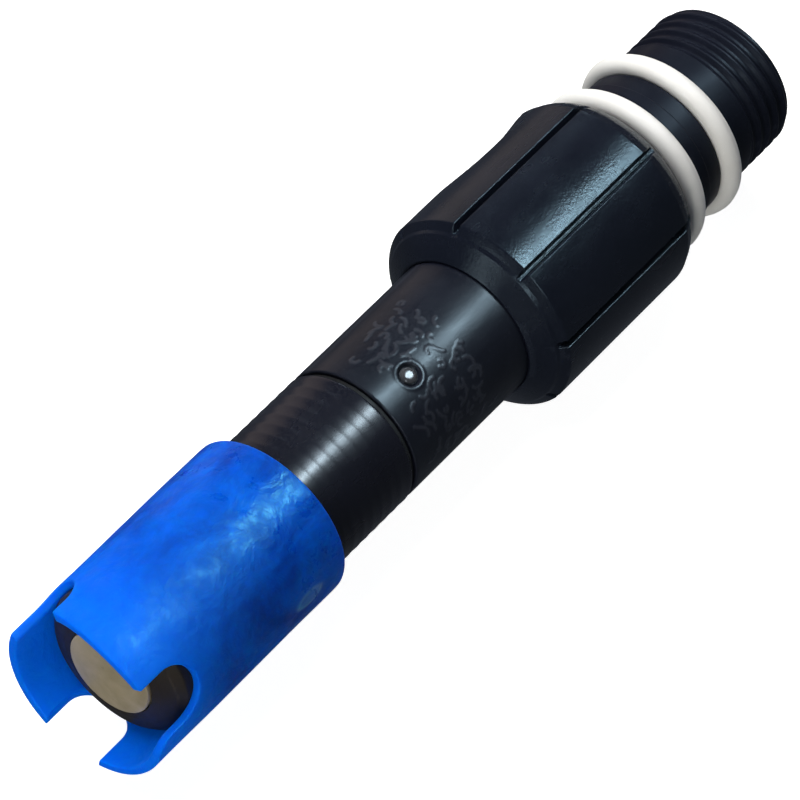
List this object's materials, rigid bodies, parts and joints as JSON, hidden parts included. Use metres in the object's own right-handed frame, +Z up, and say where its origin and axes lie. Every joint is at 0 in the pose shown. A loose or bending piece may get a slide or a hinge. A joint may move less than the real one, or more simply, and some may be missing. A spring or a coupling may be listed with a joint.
{
  "type": "drip emitter",
  "caption": "Screw-in drip emitter: threaded inlet shank with two seals, fluted grip, turning metering barrel, spring poppet outlet and pull-off slotted guard.",
  "frame": {"origin": "centre of the inlet bore at the inlet end face, on the emitter's axis", "axes": "+X along the axis and out of the inlet, so that the body and the guard run towards -X; +Z is up with the emitter lying on its side"},
  "size_m": [0.1274, 0.028, 0.028],
  "materials": {
    "black_plastic": "satin moulded, faint blue tint",
    "white_rubber": "matte",
    "blue_plastic": "waxy satin, mottled",
    "disc_metal": "satin, warm grey",
    "black_rubber": "matte",
    "disc_plastic": "plain acetal",
    "strainer_plastic": "plain",
    "silicone": "matte silicone",
    "steel": "bright drawn"
  },
  "bodies": {
    "inlet_body": {"inlet_shank": "black_plastic", "shank_seal_outer": "white_rubber", "shank_seal_inner": "white_rubber", "strainer": "strainer_plastic", "strainer_ring": "steel", "metering_disc_fixed": "disc_plastic", "fluted_grip": "black_plastic", "stop_ring": "disc_plastic"},
    "barrel": {"barrel": "black_plastic", "barrel_seal_inner": "black_rubber", "barrel_seal_outer": "black_rubber", "metering_disc_turning": "disc_plastic", "labyrinth_core": "disc_plastic", "diaphragm": "silicone", "diaphragm_seat": "disc_plastic", "seam_gasket": "black_rubber", "lower_sleeve": "black_plastic", "spigot_seal": "black_rubber", "lock_pin": "black_plastic", "poppet_guide": "disc_plastic", "nose_gasket": "black_rubber", "outlet_nose": "black_plastic", "guard_ring": "black_rubber"},
    "poppet": {"poppet_stem": "black_plastic", "poppet_seal": "black_rubber", "deflector_disc": "disc_metal", "spring_retainer": "disc_plastic", "stem_clip": "steel", "coil_spring": "steel"},
    "guard": {"outlet_guard": "blue_plastic"}
  },
  "joints": [
    {"name": "barrel_turn", "type": "hinge", "parent": "inlet_body", "child": "barrel", "pos_m": [-0.05, 0, 0], "axis": [1, 0, 0], "range_deg": [0, 270]},
    {"name": "poppet_lift", "type": "slide", "parent": "barrel", "child": "poppet", "axis": [-1, 0, 0], "range_m": [0, 0.002], "stiffness_N_per_m": 300, "springref_m": -0.002, "deforming": ["coil_spring"]},
    {"name": "guard_pull", "type": "slide", "parent": "barrel", "child": "guard", "axis": [-1, 0, 0], "range_m": [0, 0.032]}
  ]
}
